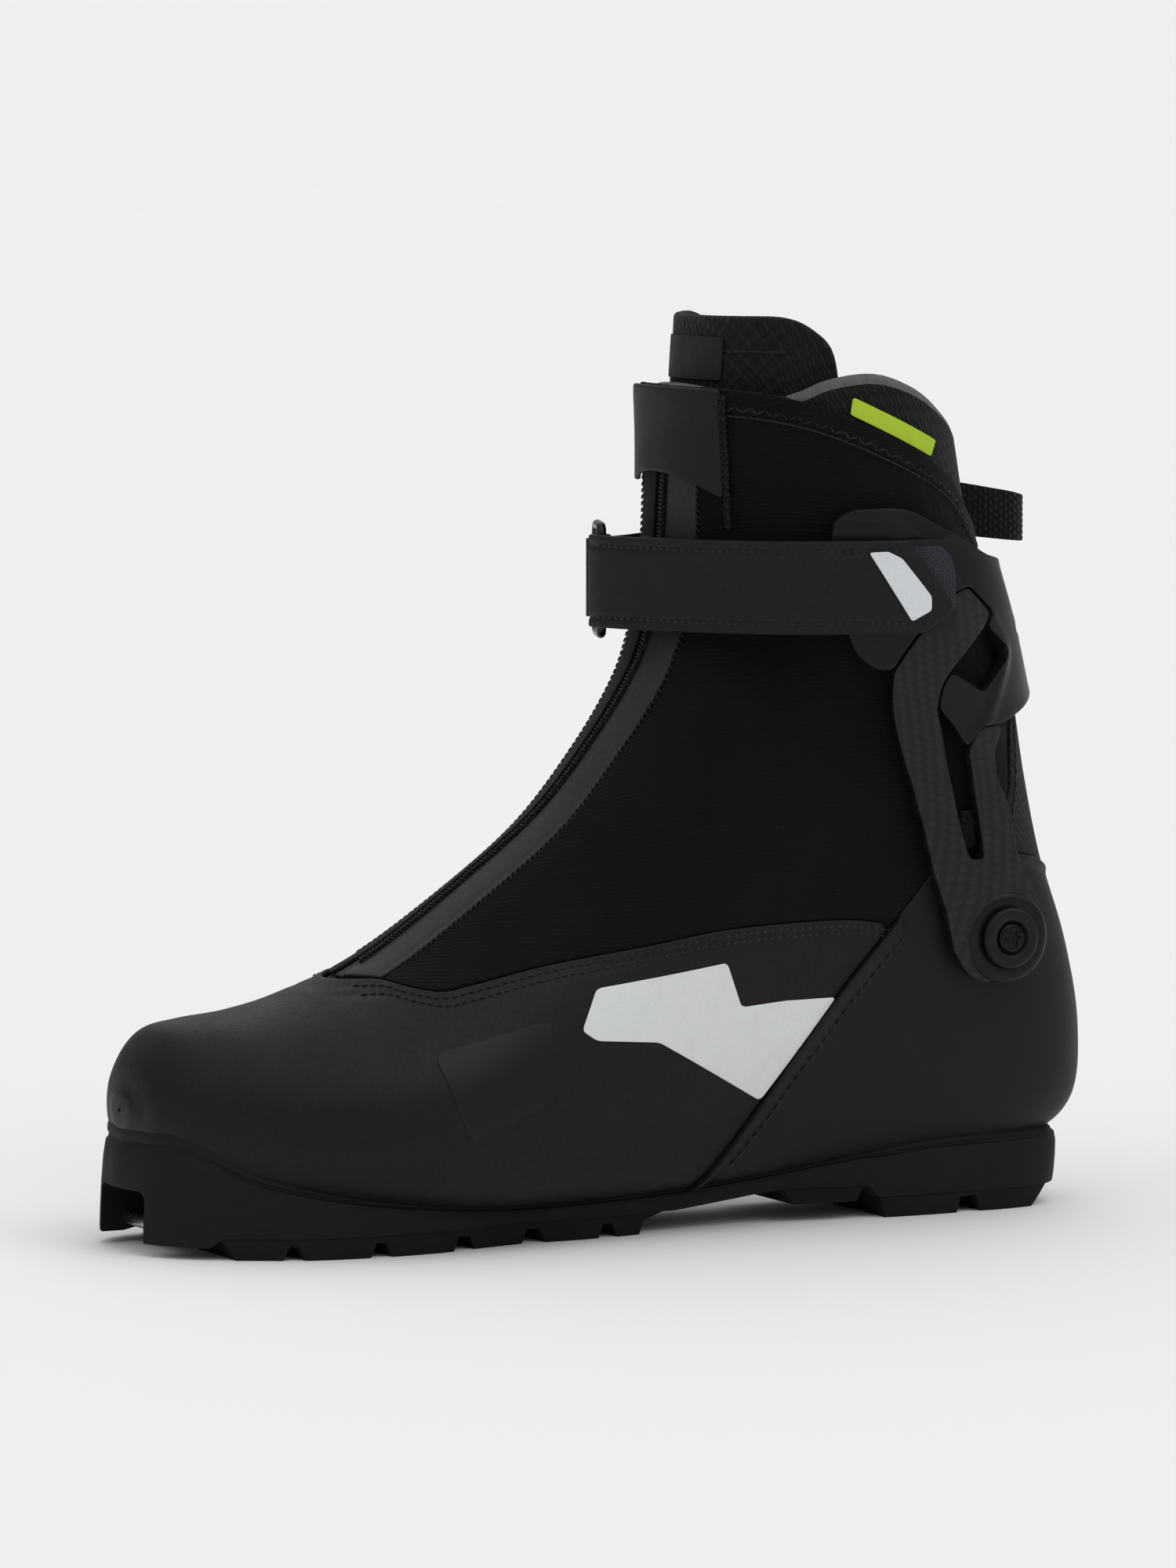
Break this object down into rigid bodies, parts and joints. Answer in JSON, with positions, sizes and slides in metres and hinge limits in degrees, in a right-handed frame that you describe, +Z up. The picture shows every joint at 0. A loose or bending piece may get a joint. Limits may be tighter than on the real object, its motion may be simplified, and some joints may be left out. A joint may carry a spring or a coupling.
{
  "type": "cross country ski boot",
  "caption": "Skate style cross country ski boot with a low shoe, zipped gaiter, hinged ankle cuff and a fold-back closure strap.",
  "frame": {"origin": "middle of the footprint's bounding box, on the ground under the sole", "axes": "+X towards the toe, +Y to the wearer's left, which is the outer side of this left boot, +Z up the leg"},
  "size_m": [0.297, 0.1134, 0.2613],
  "materials": {
    "sole_rubber": "matte moulded",
    "steel": "bright",
    "coated_synthetic": "matte coated",
    "heel_rubber": "satin",
    "white_film": "smooth film",
    "gloss_film": "smooth film",
    "softshell": "fine twill",
    "hex_textile": "embossed weave",
    "zip_tape": "coated tape",
    "coil": "coil",
    "lining": "brushed knit",
    "board": "fibre board",
    "foam": "felted foam",
    "cuff_plastic": "satin",
    "carbon": "twill composite",
    "metal_dark": "black",
    "strap_pu": "matte coated",
    "hook_loop": "hooks and loops",
    "lime_print": "printed tape",
    "webbing": "coarse weave"
  },
  "bodies": {
    "boot_lower": {"outsole_frame": "sole_rubber", "forefoot_tread": "sole_rubber", "heel_tread": "sole_rubber", "shank_pad": "sole_rubber", "toe_bar": "steel", "vamp_shell": "coated_synthetic", "heel_shell": "heel_rubber", "white_panel": "white_film", "gloss_panel": "gloss_film", "gaiter_lateral": "softshell", "gaiter_medial": "softshell", "backstay": "hex_textile", "zip_tape_lateral": "zip_tape", "zip_tape_medial": "zip_tape", "zip_coil": "coil", "foot_lining": "lining", "insole_board": "board", "footbed": "foam", "tongue": "hex_textile", "pivot_bushing_lateral": "steel", "pivot_bushing_medial": "steel", "pivot_cap_lateral": "cuff_plastic", "pivot_cap_medial": "cuff_plastic", "pivot_screw_lateral": "metal_dark", "pivot_screw_medial": "metal_dark", "tongue_label": "webbing", "side_tab": "webbing"},
    "cuff": {"cuff_shell": "cuff_plastic", "carbon_frame_lateral": "carbon", "carbon_frame_medial": "carbon", "collar_padding": "hex_textile", "collar_label": "lime_print", "front_tab": "strap_pu", "strap_base": "strap_pu", "strap_anchor": "strap_pu", "hook_patch": "hook_loop", "heel_pull": "webbing"},
    "strap_ring": {"strap_ring": "metal_dark"},
    "strap_tail": {"strap_tail": "strap_pu", "strap_flag": "white_film"}
  },
  "joints": [
    {"name": "cuff_flex", "type": "hinge", "parent": "boot_lower", "child": "cuff", "pos_m": [-0.1075, -0.002, 0.082], "axis": [0, 1, 0], "range_deg": [-2, 12], "deforming": ["gaiter_lateral", "gaiter_medial", "backstay", "zip_tape_lateral", "zip_tape_medial", "zip_coil", "tongue", "tongue_label", "side_tab"]},
    {"name": "ring_swing", "type": "hinge", "parent": "cuff", "child": "strap_ring", "pos_m": [-0.009, -0.024, 0.185], "axis": [0, 0, -1], "range_deg": [0, 20]},
    {"name": "strap_open", "type": "hinge", "parent": "strap_ring", "child": "strap_tail", "pos_m": [-0.0037, -0.01, 0.185], "axis": [0, 0, -1], "range_deg": [0, 95]}
  ]
}
